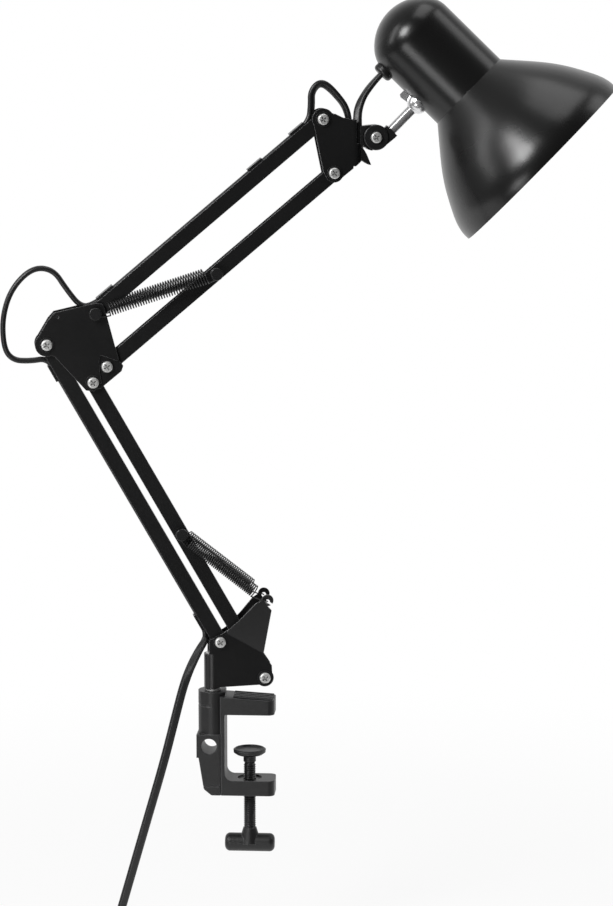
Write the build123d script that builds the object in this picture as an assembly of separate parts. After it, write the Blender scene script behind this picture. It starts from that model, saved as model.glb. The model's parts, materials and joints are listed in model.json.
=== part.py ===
"""Clip-on desk lamp: a spring-balanced sheet-metal arm on a screw clamp, with a bell shade.

Millimetres, +Z up, seen from -Y. The arm lies in the plane y = 0. The origin is on the face of
the clamp's upper jaw that rests on the desk top. Every moving piece is drawn where the photograph
shows it, and each piece is written to parts/NAME.step.
"""

import os
from math import atan2, cos, degrees, hypot, pi, radians, sin, sqrt, tan

from build123d import *

os.makedirs("parts", exist_ok=True)

# Running and sliding fits.
PIVOT_PLAY = 0.05
SWIVEL_PLAY = 0.06
SEAT_PLAY = 0.02
WASHER_PLAY = 0.04
WIRE_GAP_LEAST = 0.4

# Sheet metal.
SHEET = 1.2
BAR_SHEET = 1.0
PLATE_INNER = 6.2
PLATE_OUTER = PLATE_INNER + SHEET
ELBOW_OUTER = PLATE_OUTER + SHEET

# The four channel bars.
BAR_WIDTH = 11.4
BAR_DEPTH = 11.0
BAR_HALF = BAR_DEPTH / 2
LOWER_LENGTH = 270.0
LOWER_ANGLE = 119.3
UPPER_LENGTH = 229.0
UPPER_ANGLE = 39.9

# Pivots of the lower arm on the base bracket, as (x, z).
BASE_OUTER_PIVOT = (-23.5, 57.0)
BASE_INNER_PIVOT = (11.5, 27.5)

# Steps from the elbow's inner pivot to the pivots of the upper arm, as (x, z).
ELBOW_TOP_STEP = (2.13, 53.04)
ELBOW_LOW_STEP = (10.83, 12.04)

# Screws, nuts, washers and spring pins of the joints.
SCREW_RADIUS = 2.0
SCREW_HEAD_RADIUS = 4.3
SCREW_HEAD_HEIGHT = 2.5
RECESS_LENGTH = 4.8
RECESS_WIDTH = 1.0
RECESS_DEPTH = 1.2
NUT_RADIUS = 4.0
NUT_HEIGHT = 3.2
SCREW_END = 0.8
WASHER_RADIUS = 4.6
COLLAR_RADIUS = 5.8
NOTCH_COLLAR_RADIUS = 5.1
COLLAR_HEIGHT = 0.8
PIN_RADIUS = 2.5
PIN_CAP_RADIUS = 4.9
PIN_CAP_HEIGHT = 1.6
PIN_CAP_SEAT = 12.6

# Balance springs.
SPRING_WIRE = 1.1
SPRING_RADIUS = 4.6
SPRING_TURNS = 24
SPRING_DEPTH = 11.4
SPRING_HOOK = PIN_RADIUS + SPRING_WIRE / 2 + 0.35
LOWER_PIN_ALONG = 133.0
UPPER_PIN_ALONG = 110.0
EAR_POINT = (13.4, 90.4)
EAR_HOLE = 1.9

# Clamp, in its own frame: x along the jaw from the screw, turned under the arm by CLAMP_YAW.
CLAMP_YAW = -10.5
POST_TO_SCREW = 28.3
CLAMP_DEPTH = 25.0
JAW_REACH = 20.2
JAW_TIP_TOP = 11.5
JAW_ROOT_TOP = 14.0
SPINE_BACK = -39.3
SPINE_FRONT = -18.8
FRAME_BACK = -22.0
BLOCK_HEIGHT = 18.6
BOSS_RADIUS = 12.0
BOSS_TOP = 17.5
POST_HOLE_FLOOR = -13.0
LOWER_JAW_TOP = -53.0
LOWER_JAW_FLOOR = -65.0
SIDE_BORE_RADIUS = 6.1
SIDE_BORE_AT = (-31.0, -25.5)
THREAD_RADIUS = 4.8
THREAD_ROOT = 4.1
TIP_RADIUS = 3.2
THREAD_PITCH = 1.75
THREAD_PLAY = 0.1
PAD_RADIUS = 12.8
PAD_HUB_RADIUS = 4.9
PAD_TOP = -29.4
HANDLE_RADIUS = 7.2
HANDLE_HALF = 19.6
HANDLE_Z = -105.8

# Post and base bracket.
POST_RADIUS = 6.0
POST_X = -POST_TO_SCREW
POST_BOTTOM = -12.0
POST_TOP = 48.0
ROLL_BOTTOM = 19.0
ROLL_TOP = 47.0
CREASE_LEFT = (-17.5, 63.3)
CREASE_RIGHT = (10.6, 46.9)
FLARE_ANGLE = 10.5

# Head bracket, knuckle and rod: nose and hinge by steps from the head's top pivot, as (x, z).
NOSE_REACH = 23.6
NOSE_RISE = -0.4
NOSE_HEIGHT = 35.5
NOSE_UNDER = 1.6
HINGE_STEP = (41.3, -14.0)
NOSE_SLOT = 18.1
LIP_HALF = 4.0
BOSS_STEP = (10.77, 3.46)
KNUCKLE_RADIUS = 9.8
KNUCKLE_HALF = 7.0
KNUCKLE_GAP = 0.15
ROD_RADIUS = 4.0
ROD_BOSS_RADIUS = 5.6

# Rivet that holds the knuckle on the nose: to the far side, and below the hinge.
RIVET_SIDE = 2.6
RIVET_DROP = 6.5
RIVET_RADIUS = 1.5

# Shade: profile as (distance back from the rim, outer radius).
SHADE_TILT = 44.7
SHADE_TURN = -8.5
ROD_TO_BOSS = 65.5
ROD_BELOW_DOME = 36.3
RIM_RADIUS = 80.7
NECK_RADIUS = 34.3
DOME_HEIGHT = 28.7
DOME_SHOULDER = 24.0
SHADE_LENGTH = 166.0
SHADE_WALL = 1.0
BELL_PROFILE = [(11.2, 79.6), (25.1, 73.7), (44.1, 62.8), (62.0, 49.0), (76.8, 36.3)]

# Cord gland on the neck.
GLAND_Z = -35.5
GLAND_RADIUS = 7.8
GLAND_OUT = 38.4
GLAND_STEM = 4.4

# Lampholder for an E27 lamp.
SOCKET_RADIUS = 13.4
SOCKET_SHELL = 0.6
SHELL_OVER_FLOOR = 3.5
HOLDER_RADIUS = 19.5
HOLDER_BACK = -50.0
HOLDER_MOUTH = -8.0

# Flat two-core cord.
CORD_WIDTH = 7.0
CORD_THICK = 4.2
CORD_OFFSET = 4.6
CORD_JOINT = 0.2
CLIP_COVER = 7.1
CLIP_SHEET = 0.9

# Put-away length of the cord, below the photograph's frame.
FLOOR_Z = -203.3
LEAD_Z = -191.0
SWITCH_FROM = -157.0
SWITCH_LENGTH = 60.0
SWITCH_WIDTH = 28.0
SWITCH_HEIGHT = 24.0
COIL_X = -250.0
COIL_OUTER = 44.5
COIL_STEP = 2.4
COIL_HALF_TURNS = 5
LAYER_DROP = 7.6
PLUG_Z = FLOOR_Z + 8.0

PIECES = {}


def keep(name, shape):
    """Store a finished piece under its node name."""
    PIECES[name] = shape


def unit(angle):
    """Unit vector of an angle in the arm's plane, as (x, z)."""
    return cos(radians(angle)), sin(radians(angle))


def along(start, angle, run, side=0.0):
    """Point at a run and a left-hand offset from a start, in the arm's plane."""
    c, s = unit(angle)
    return start[0] + run * c - side * s, start[1] + run * s + side * c


def steps_from(at, *steps):
    """Points at (x, z) steps from a place in the arm's plane."""
    return [(at[0] + x, at[1] + z) for x, z in steps]


def on_arm(sketch, y_low, y_high):
    """A sketch drawn in x and z, thickened between two depths."""
    plane = Plane(origin=(0, y_high, 0), x_dir=(1, 0, 0), z_dir=(0, -1, 0))
    return extrude(plane * sketch, amount=y_high - y_low)


def outline(points, radius=0.0):
    """Closed outline of straight edges, with its corners rounded."""
    face = make_face(Polyline(*points, close=True))
    if radius:
        face = fillet(face.vertices(), radius)
    return face


def round_pin(at, radius, y_low, y_high):
    """Round bar across the arm's plane."""
    return on_arm(Pos(*at) * Circle(radius), y_low, y_high)


def both_sides(shape):
    """The piece and its mirror image in the arm's plane."""
    return shape + mirror(shape, about=Plane.XZ)


def together(solids):
    """Separate solids of one node."""
    return Compound(children=[solid for shape in solids for solid in shape.solids()])


def channel_bar(start, angle, length, holes):
    """Channel with round-ended walls, open on the left, looking from its start to its end."""
    turn = Pos(*start) * Rot(0, 0, angle)
    wall = turn * Pos(length / 2, 0) * SlotCenterToCenter(length, BAR_WIDTH)
    web_side = -(BAR_WIDTH - BAR_SHEET) / 2
    web = turn * Pos(length / 2, web_side) * Rectangle(length, BAR_SHEET)
    bar = both_sides(on_arm(wall, BAR_HALF - BAR_SHEET, BAR_HALF)) + on_arm(web, -BAR_HALF, BAR_HALF)
    for run, radius in holes:
        bar -= round_pin(along(start, angle, run), radius, -BAR_DEPTH, BAR_DEPTH)
    return bar


def collar(at, plate, radius=COLLAR_RADIUS):
    """Dark washer under a screw's head, on the near face of a plate."""
    face = Pos(*at) * (Circle(radius) - Circle(SCREW_RADIUS + SEAT_PLAY))
    return on_arm(face, plate - COLLAR_HEIGHT, plate)


def pan_screw(at, seat, tip):
    """Cross-recess screw along Y: head on the near side of a seat, shank to a tip."""
    head = round_pin(at, SCREW_HEAD_RADIUS, seat - SCREW_HEAD_HEIGHT, seat)
    head = fillet(head.faces().sort_by(Axis.Y)[0].edges(), SCREW_HEAD_HEIGHT * 0.55)
    top = seat - SCREW_HEAD_HEIGHT
    for size in ((RECESS_LENGTH, RECESS_WIDTH), (RECESS_WIDTH, RECESS_LENGTH)):
        head -= on_arm(Pos(*at) * Rot(0, 0, 35) * Rectangle(*size), top, top + RECESS_DEPTH)
    return head + round_pin(at, SCREW_RADIUS, seat, tip)


def hex_nut(at, seat):
    """Plain nut on the far side of a seat."""
    face = Pos(*at) * (RegularPolygon(NUT_RADIUS, 6) - Circle(SCREW_RADIUS + SEAT_PLAY))
    return on_arm(face, seat, seat + NUT_HEIGHT)


def washers(at, y_low, y_high, bore):
    """A washer on each side of the arm's plane."""
    face = Pos(*at) * (Circle(WASHER_RADIUS) - Circle(bore))
    return both_sides(on_arm(face, y_low + WASHER_PLAY, y_high - WASHER_PLAY))


def spring_pin(at):
    """Pin with a domed cap on each end, which the spring hooks sit behind."""
    end = PIN_CAP_SEAT + PIN_CAP_HEIGHT
    cap = round_pin(at, PIN_CAP_RADIUS, PIN_CAP_SEAT, end)
    cap = fillet(cap.faces().sort_by(Axis.Y)[-1].edges(), PIN_CAP_HEIGHT * 0.6)
    return both_sides(cap) + round_pin(at, PIN_RADIUS, -PIN_CAP_SEAT, PIN_CAP_SEAT)


def biarc(p, t, q, u):
    """Two arcs that leave p along t and arrive at q along u."""
    t = t.normalized()
    u = u.normalized()
    v = q - p
    a = 2 * (t.dot(u) - 1)
    b = -2 * v.dot(t + u)
    if abs(a) < 1e-6:
        d = -v.dot(v) / b
    else:
        d = (-b - sqrt(b * b - 4 * a * v.dot(v))) / (2 * a)
    start = p + t * d
    end = q - u * d
    middle = (start + end) * 0.5
    return [TangentArc(p, middle, tangent=t), TangentArc(middle, q, tangent=end - start)]


def tube(edges, section):
    """Sweep a section, given in the plane square to the path's start, along joined edges."""
    path = Wire(edges)
    return sweep(Plane(origin=path @ 0, z_dir=path % 0) * section, path=path)


def least_gap(points, turn_points):
    """Smallest distance between points of a coil that are at least most of a turn apart."""
    least = 1e9
    for i, p in enumerate(points):
        for q in points[i + turn_points :]:
            least = min(least, (p - q).length)
    return least


def balance_spring(name, pin, far, far_depth, lead_pin, lead_far, through_ear):
    """Extension spring with a hook round its pin, and an end through an ear or round a second pin."""
    start = Vector(pin[0], -SPRING_DEPTH, pin[1])
    finish = Vector(far[0], -far_depth, far[1])
    ex = (finish - start).normalized()
    length = (finish - start).length
    ev = ex.cross(Vector(0, -1, 0)).normalized()
    ew = ex.cross(ev).normalized()
    body = length - lead_pin - lead_far
    pitch = body / SPRING_TURNS

    def place(s, v, w):
        return start + ex * s + ev * v + ew * w

    def helix(turns):
        a = 2 * pi * turns
        return place(lead_pin + pitch * turns, SPRING_RADIUS * cos(a), SPRING_RADIUS * sin(a))

    def heading(turns):
        a = 2 * pi * turns
        return ex * (pitch / (2 * pi)) + ev * (-SPRING_RADIUS * sin(a)) + ew * (SPRING_RADIUS * cos(a))

    hook = SPRING_HOOK
    edges = [
        ThreePointArc(place(0, -hook, 0), place(-hook, 0, 0), place(0, hook, 0)),
        Line(place(0, hook, 0), place(1.5, hook, 0)),
    ]
    edges += biarc(place(1.5, hook, 0), ex, helix(0), heading(0))
    halves = 2 * SPRING_TURNS
    for k in range(halves):
        edges += biarc(helix(k / 2), heading(k / 2), helix((k + 1) / 2), heading((k + 1) / 2))
    last = helix(SPRING_TURNS), heading(SPRING_TURNS)
    if through_ear:
        outside = SHEET / 2 + SPRING_WIRE / 2 + 0.9
        bend = 1.8
        stop = place(length - bend, 0, -outside)
        turned = place(length, 0, -outside + bend)
        edges += biarc(*last, stop, ex)
        edges += [TangentArc(stop, turned, tangent=ex)]
        edges += [Line(turned, place(length, 0, -outside + bend + 2.0))]
    else:
        stop = place(length - 1.5, hook, 0)
        edges += biarc(*last, stop, ex)
        edges += [Line(stop, place(length, hook, 0))]
        edges += [ThreePointArc(place(length, hook, 0), place(length + hook, 0, 0), place(length, -hook, 0))]
    steps = 24
    points = [helix(k / steps) for k in range(SPRING_TURNS * steps)]
    gap = least_gap(points[: 4 * steps], steps * 3 // 4) - SPRING_WIRE
    print(f"{name}: {SPRING_TURNS} turns, pitch {pitch:.2f}, least gap {gap:.2f} mm")
    assert gap > WIRE_GAP_LEAST
    return tube(edges, Circle(SPRING_WIRE / 2))


def cord_path(points):
    """Straight runs joined by tangent arcs, each as wide as its shorter run allows."""
    points = [Vector(*p) for p in points]
    edges, radii = [], []
    at = points[0]
    for before, corner, after in zip(points, points[1:], points[2:]):
        a = (corner - before).normalized()
        b = (after - corner).normalized()
        half = radians(a.get_angle(b)) / 2
        setback = 0.45 * min((corner - before).length, (after - corner).length)
        radii.append(setback / tan(half))
        edges.append(Line(at, corner - a * setback))
        edges.append(TangentArc(corner - a * setback, corner + b * setback, tangent=a))
        at = corner + b * setback
    edges.append(Line(at, points[-1]))
    return edges, radii


def flat_tube(name, edges, across, guided=False):
    """Flat cord along joined edges, its width along a direction that a guide keeps through a climb."""
    path = Wire(edges)
    heading = path % 0
    across = Vector(*across)
    side = across - heading * across.dot(heading)
    plane = Plane(origin=path @ 0, x_dir=side, z_dir=heading)
    guide = path.moved(Location(across * CORD_WIDTH)) if guided else None
    cord = sweep(plane * SlotOverall(CORD_WIDTH, CORD_THICK), path=path, binormal=guide)
    area = (CORD_WIDTH - CORD_THICK) * CORD_THICK + pi * CORD_THICK**2 / 4
    ratio = cord.volume / (area * path.length)
    print(f"{name}: length {path.length:.0f} mm, volume over section x length {ratio:.3f}")
    return cord


def flat_cord(name, points):
    """Flat cord along a route of points, its width across the arm's plane."""
    edges, radii = cord_path(points)
    print(f"{name}: bend radii {[round(r, 1) for r in radii]}")
    return flat_tube(name, edges, (0, 1, 0))


def cord_clip(start, angle, run_from, run_to):
    """Clip in a channel that holds the cord down: a cover with two legs inside the walls."""
    turn = Pos(*start) * Rot(0, 0, angle) * Pos((run_from + run_to) / 2, 0)
    length = run_to - run_from
    inner = BAR_HALF - BAR_SHEET - SEAT_PLAY
    cover = turn * Pos(0, CLIP_COVER + CLIP_SHEET / 2) * Rectangle(length, CLIP_SHEET)
    leg_low = BAR_WIDTH / 2 - 3.2
    leg_side = (leg_low + CLIP_COVER + CLIP_SHEET) / 2
    leg = turn * Pos(0, leg_side) * Rectangle(length, CLIP_COVER + CLIP_SHEET - leg_low)
    clip = on_arm(cover, -inner, inner) + both_sides(on_arm(leg, inner - CLIP_SHEET, inner))
    return clip


# Positions that follow from the driving dimensions.
ELBOW_OUTER_PIVOT = along(BASE_OUTER_PIVOT, LOWER_ANGLE, LOWER_LENGTH)
ELBOW_INNER_PIVOT = along(BASE_INNER_PIVOT, LOWER_ANGLE, LOWER_LENGTH)
ELBOW_TOP_PIVOT, ELBOW_LOW_PIVOT = steps_from(ELBOW_INNER_PIVOT, ELBOW_TOP_STEP, ELBOW_LOW_STEP)
HEAD_TOP_PIVOT = along(ELBOW_TOP_PIVOT, UPPER_ANGLE, UPPER_LENGTH)
HEAD_LOW_PIVOT = along(ELBOW_LOW_PIVOT, UPPER_ANGLE, UPPER_LENGTH)
NOSE_X = HEAD_TOP_PIVOT[0] + NOSE_REACH
NOSE_TOP = HEAD_TOP_PIVOT[1] + NOSE_RISE
NOSE_BOTTOM = NOSE_TOP - NOSE_HEIGHT
NOSE_FRONT = NOSE_X + PLATE_OUTER
HINGE = steps_from(HEAD_TOP_PIVOT, HINGE_STEP)[0]
LOWER_PIN = along(BASE_INNER_PIVOT, LOWER_ANGLE, LOWER_PIN_ALONG)
UPPER_PIN = along(ELBOW_LOW_PIVOT, UPPER_ANGLE, UPPER_PIN_ALONG)
CREASE_ANGLE = degrees(atan2(CREASE_RIGHT[1] - CREASE_LEFT[1], CREASE_RIGHT[0] - CREASE_LEFT[0]))
CREASE_NORMAL = unit(CREASE_ANGLE + 90)
EAR_REACH = sum((e - c) * n for e, c, n in zip(EAR_POINT, CREASE_RIGHT, CREASE_NORMAL))
FLARE_COS, FLARE_SIN = unit(FLARE_ANGLE)
EAR_SHIFT = EAR_REACH * (1 - FLARE_COS) + SHEET / 2 * FLARE_SIN
EAR_CENTRE = along(EAR_POINT, CREASE_ANGLE, 0, -EAR_SHIFT)
EAR_DEPTH = PLATE_INNER + EAR_REACH * FLARE_SIN + SHEET / 2 * FLARE_COS
AXIS_X, AXIS_DROP = unit(-SHADE_TILT)
TURN_COS, TURN_SIN = unit(SHADE_TURN)
ROD_OUT = (AXIS_DROP, 0, -AXIS_X)
SHADE_AXIS = (AXIS_X * TURN_COS, TURN_SIN, AXIS_DROP * TURN_COS)
ROD_STEP = (BOSS_STEP[0] - ROD_OUT[0] * ROD_TO_BOSS, BOSS_STEP[1] - ROD_OUT[2] * ROD_TO_BOSS)
ROD_ON_AXIS = steps_from(HINGE, ROD_STEP)[0]
DOME_START = SHADE_LENGTH - DOME_HEIGHT
ROD_FROM_RIM = DOME_START - ROD_BELOW_DOME
SHADE_FRAME = Plane(origin=(ROD_ON_AXIS[0], 0, ROD_ON_AXIS[1]), x_dir=ROD_OUT, z_dir=SHADE_AXIS)
RIVET_FRAME = Plane(origin=(NOSE_FRONT - 0.1, RIVET_SIDE, HINGE[1] - RIVET_DROP), z_dir=(1, 0, 0))
PIVOT_HOLE = SCREW_RADIUS + PIVOT_PLAY
PLATE_HOLE = SCREW_RADIUS + SEAT_PLAY


def clamp_frame():
    """Frame of the clamp: origin on the screw's axis in the jaw's face."""
    turn = Rot(0, 0, CLAMP_YAW)
    return Pos(POST_X, 0, 0) * turn * Pos(POST_TO_SCREW, 0, 0)


def make_clamp():
    """C-shaped moulded body with the post's boss, a cross bore and the screw's hole."""
    half = CLAMP_DEPTH / 2
    block_top = SIDE_BORE_AT[1] + BLOCK_HEIGHT / 2
    profile = make_face(
        Polyline(
            (FRAME_BACK, block_top),
            (FRAME_BACK, JAW_ROOT_TOP),
            (SPINE_FRONT, JAW_ROOT_TOP),
            (JAW_REACH, JAW_TIP_TOP),
            (JAW_REACH, 0),
            (SPINE_FRONT, 0),
            (SPINE_FRONT, LOWER_JAW_TOP),
            (JAW_REACH, LOWER_JAW_TOP),
            (JAW_REACH, LOWER_JAW_FLOOR),
            (SPINE_BACK + 10, LOWER_JAW_FLOOR),
            (SPINE_BACK + 4, LOWER_JAW_FLOOR + 5),
            (SPINE_BACK, block_top - BLOCK_HEIGHT),
            (SPINE_BACK, block_top),
            close=True,
        )
    )
    inner = [v for v in profile.vertices() if abs(v.X - SPINE_FRONT) < 0.1 and v.Y < 5]
    lower_root = [v for v in inner if v.Y < LOWER_JAW_TOP / 2]
    profile = fillet(lower_root, 6.0)
    upper_root = [v for v in profile.vertices() if abs(v.X - SPINE_FRONT) < 0.1 and abs(v.Y) < 0.1]
    profile = fillet(upper_root, 1.2)
    lower_back = [v for v in profile.vertices() if v.X < SPINE_FRONT - 8 and v.Y < -50]
    profile = fillet(lower_back, 3.0)
    body = on_arm(profile, -half, half)
    boss_low = block_top - 1.0
    boss = Pos(POST_X, 0, (boss_low + BOSS_TOP) / 2) * Cylinder(BOSS_RADIUS, BOSS_TOP - boss_low)
    body += boss & Pos(SPINE_FRONT - 50, 0, 0) * Box(100, 100, 200)
    tips = [e for e in body.edges().filter_by(Axis.Z) if abs(e.center().X - JAW_REACH) < 0.1]
    body = fillet(tips, 5.0)
    block = Pos((SPINE_BACK - 1.6 + SPINE_FRONT) / 2, 0, SIDE_BORE_AT[1])
    body += block * Box(SPINE_FRONT - SPINE_BACK + 1.6, CLAMP_DEPTH, BLOCK_HEIGHT)
    ribs = []
    for k in range(4):
        slope = Rot(0, degrees(atan2(JAW_ROOT_TOP - JAW_TIP_TOP, JAW_REACH - SPINE_FRONT)), 0)
        mid = Pos(3.4, -7.5 + 5.0 * k, (JAW_ROOT_TOP + JAW_TIP_TOP) / 2 - 0.1)
        ribs.append(mid * slope * Box(31.0, 1.8, 2.6))
    for rib in ribs:
        body += rib
    body -= Pos(POST_X, 0, (POST_HOLE_FLOOR + BOSS_TOP) / 2) * Cylinder(
        POST_RADIUS + SWIVEL_PLAY, BOSS_TOP - POST_HOLE_FLOOR
    )
    body -= Pos(SIDE_BORE_AT[0], 0, SIDE_BORE_AT[1]) * Rot(90, 0, 0) * Cylinder(
        SIDE_BORE_RADIUS, CLAMP_DEPTH + 2
    )
    screw_hole = Cylinder(THREAD_RADIUS + THREAD_PLAY, 30)
    body -= Pos(0, 0, LOWER_JAW_FLOOR) * screw_hole
    body -= Pos(0, 0, LOWER_JAW_TOP) * Cylinder(9.5, 2.4)
    groove = Pos(POST_X, 0, 6.5) * (Cylinder(BOSS_RADIUS + 2, 1.4) - Cylinder(BOSS_RADIUS - 0.6, 1.4))
    body -= groove & Pos(SPINE_BACK - 10, 0, 6.5) * Box(40, 60, 4)
    for face in (-half, half):
        seam_height = block_top - LOWER_JAW_FLOOR
        body -= Pos(FRAME_BACK, face, LOWER_JAW_FLOOR + seam_height / 2) * Box(0.9, 1.4, seam_height + 2)
        body -= Pos(SPINE_BACK, face, LOWER_JAW_FLOOR + 7.5) * Box(2 * (FRAME_BACK - SPINE_BACK), 1.4, 0.9)
    keep("clamp_body", clamp_frame() * body)

    pad = Plane.XZ * make_face(
        Polyline(
            (0, PAD_TOP - 1.6),
            (PAD_RADIUS - 2.6, PAD_TOP - 1.6),
            (PAD_RADIUS - 1.2, PAD_TOP),
            (PAD_RADIUS, PAD_TOP - 0.8),
            (PAD_RADIUS - 0.2, PAD_TOP - 3.0),
            (PAD_RADIUS - 2.4, PAD_TOP - 4.6),
            (PAD_HUB_RADIUS + 0.8, PAD_TOP - 5.4),
            (PAD_HUB_RADIUS, PAD_TOP - 6.4),
            (PAD_HUB_RADIUS, PAD_TOP - 10.5),
            (0, PAD_TOP - 10.5),
            close=True,
        )
    )
    pad = revolve(pad, Axis.Z)
    tip = PAD_TOP - 5.6
    hub_floor = PAD_TOP - 10.5
    bore_top = tip + PIVOT_PLAY
    pad -= Pos(0, 0, (bore_top + hub_floor) / 2) * Cylinder(TIP_RADIUS + PIVOT_PLAY, bore_top - hub_floor)
    keep("pressure_pad", clamp_frame() * pad)

    shoulder = PAD_TOP - 11.3
    thread_top = PAD_TOP - 12.5
    thread_low = HANDLE_Z + HANDLE_RADIUS + 2.0
    teeth = [(0, tip), (TIP_RADIUS, tip), (TIP_RADIUS, shoulder), (THREAD_ROOT, shoulder)]
    count = int((thread_top - thread_low) / THREAD_PITCH)
    for k in range(count):
        z = thread_top - k * THREAD_PITCH
        teeth += [(THREAD_ROOT, z), (THREAD_RADIUS, z - THREAD_PITCH / 2)]
    teeth += [(THREAD_ROOT, thread_low), (THREAD_ROOT, HANDLE_Z), (0, HANDLE_Z)]
    screw = revolve(Plane.XZ * make_face(Polyline(*teeth, close=True)), Axis.Z)
    keep("clamp_screw", clamp_frame() * screw)

    grip = Rot(0, 90, 0) * Cylinder(HANDLE_RADIUS, 2 * HANDLE_HALF)
    grip = fillet(grip.edges(), 4.0)
    grip = Pos(0, 0, HANDLE_Z) * grip
    neck_top = HANDLE_Z + HANDLE_RADIUS + 5.0
    collar = Pos(0, 0, (neck_top + HANDLE_Z) / 2) * Cone(HANDLE_RADIUS + 1.6, 5.2, neck_top - HANDLE_Z)
    grip = grip + collar
    seat = Pos(0, 0, (HANDLE_Z + neck_top + 4) / 2) * Cylinder(THREAD_ROOT, neck_top + 4 - HANDLE_Z)
    recess = Pos(0, 0, thread_low + 5) * Cylinder(THREAD_RADIUS + 0.05, 10)
    keep("clamp_handle", clamp_frame() * (grip - seat - recess))


def make_base():
    """Post with the folded bracket rolled round it, and the pivots' hardware."""
    post = Pos(POST_X, 0, (POST_BOTTOM + POST_TOP) / 2) * Cylinder(POST_RADIUS, POST_TOP - POST_BOTTOM)
    keep("post", chamfer(post.edges(), 0.8))

    flat_points = [
        (POST_X, ROLL_BOTTOM),
        (-23.0, 20.8),
        (9.5, 22.0),
        (17.5, 27.5),
        (17.0, 37.2),
        CREASE_RIGHT,
        CREASE_LEFT,
        (-17.6, 66.4),
        (-24.5, 62.0),
        (-32.4, 58.6),
        (-32.4, ROLL_TOP),
        (POST_X, ROLL_TOP),
    ]
    flat = outline(flat_points) + Pos(*BASE_INNER_PIVOT) * Circle(7.0)
    side = on_arm(flat, PLATE_INNER, PLATE_OUTER)

    ear_x, ear_z = EAR_POINT
    arc = [(-17.6, 66.4), (-6.1, 77.2), (4.2, 88.6), (9.0, 91.5), (16.6, 83.0)]
    wing = outline([CREASE_LEFT, *arc, CREASE_RIGHT])
    wing += Pos(ear_x, ear_z + 1.0) * Circle(4.6)
    wing -= Pos(ear_x, ear_z) * Circle(EAR_HOLE)
    wing -= Pos(ear_x + 3.2, ear_z - 2.4) * Rot(0, 0, -36) * Rectangle(7.4, 1.9)
    wing = on_arm(wing, PLATE_INNER, PLATE_OUTER)
    fold_x, fold_z = unit(CREASE_ANGLE)
    fold = Axis((CREASE_RIGHT[0], PLATE_INNER, CREASE_RIGHT[1]), (-fold_x, 0, -fold_z))
    wing = wing.rotate(fold, FLARE_ANGLE)
    plates = both_sides(side + wing)

    height = ROLL_TOP - ROLL_BOTTOM
    roll = Cylinder(PLATE_OUTER, height) - Cylinder(PLATE_INNER, height)
    roll &= Pos(-PLATE_OUTER, 0, 0) * Box(2 * PLATE_OUTER, 4 * PLATE_OUTER, 2 * height)
    bracket = plates + Pos(POST_X, 0, (ROLL_TOP + ROLL_BOTTOM) / 2) * roll
    for at in (BASE_OUTER_PIVOT, BASE_INNER_PIVOT):
        bracket -= round_pin(at, PLATE_HOLE, -20, 20)
    keep("base_bracket", bracket)

    pivots = (BASE_OUTER_PIVOT, BASE_INNER_PIVOT)
    tip = PLATE_OUTER + NUT_HEIGHT + SCREW_END
    seat = -PLATE_OUTER - COLLAR_HEIGHT
    keep("base_pivot_screws", together([pan_screw(at, seat, tip) for at in pivots]))
    keep("base_pivot_nuts", together([hex_nut(at, PLATE_OUTER) for at in pivots]))
    rings = [washers(at, BAR_HALF, PLATE_INNER, PIVOT_HOLE) for at in pivots]
    keep("base_washers", together(rings + [collar(at, -PLATE_OUTER) for at in pivots]))


def make_bars():
    """The four bars, their spring pins and the clips that hold the cord."""
    ends = [(0, PIVOT_HOLE), (LOWER_LENGTH, PIVOT_HOLE)]
    keep("lower_outer_bar", channel_bar(BASE_OUTER_PIVOT, LOWER_ANGLE, LOWER_LENGTH, ends))
    pinned = ends + [(LOWER_PIN_ALONG, PIN_RADIUS + SEAT_PLAY)]
    keep("lower_inner_bar", channel_bar(BASE_INNER_PIVOT, LOWER_ANGLE, LOWER_LENGTH, pinned))
    keep("lower_spring_pin", spring_pin(LOWER_PIN))

    ends = [(0, PIN_RADIUS + PIVOT_PLAY), (UPPER_LENGTH, PIVOT_HOLE)]
    keep("upper_top_bar", channel_bar(ELBOW_TOP_PIVOT, UPPER_ANGLE, UPPER_LENGTH, ends))
    ends = [(0, PIVOT_HOLE), (UPPER_PIN_ALONG, PIN_RADIUS + SEAT_PLAY), (UPPER_LENGTH, PIVOT_HOLE)]
    keep("upper_low_bar", channel_bar(ELBOW_LOW_PIVOT, UPPER_ANGLE, UPPER_LENGTH, ends))
    keep("upper_spring_pin", spring_pin(UPPER_PIN))

    lower = [(14.0, 28.0), (LOWER_LENGTH - 29.0, LOWER_LENGTH - 15.0)]
    clips = [cord_clip(BASE_OUTER_PIVOT, LOWER_ANGLE, a, b) for a, b in lower]
    keep("lower_cord_clips", together(clips))
    upper = [(8.0, 24.0)] + [(UPPER_LENGTH - back, UPPER_LENGTH - back + 14.0) for back in (69.0, 27.0)]
    clips = [cord_clip(ELBOW_TOP_PIVOT, UPPER_ANGLE, a, b) for a, b in upper]
    keep("upper_cord_clips", together(clips))


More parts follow.
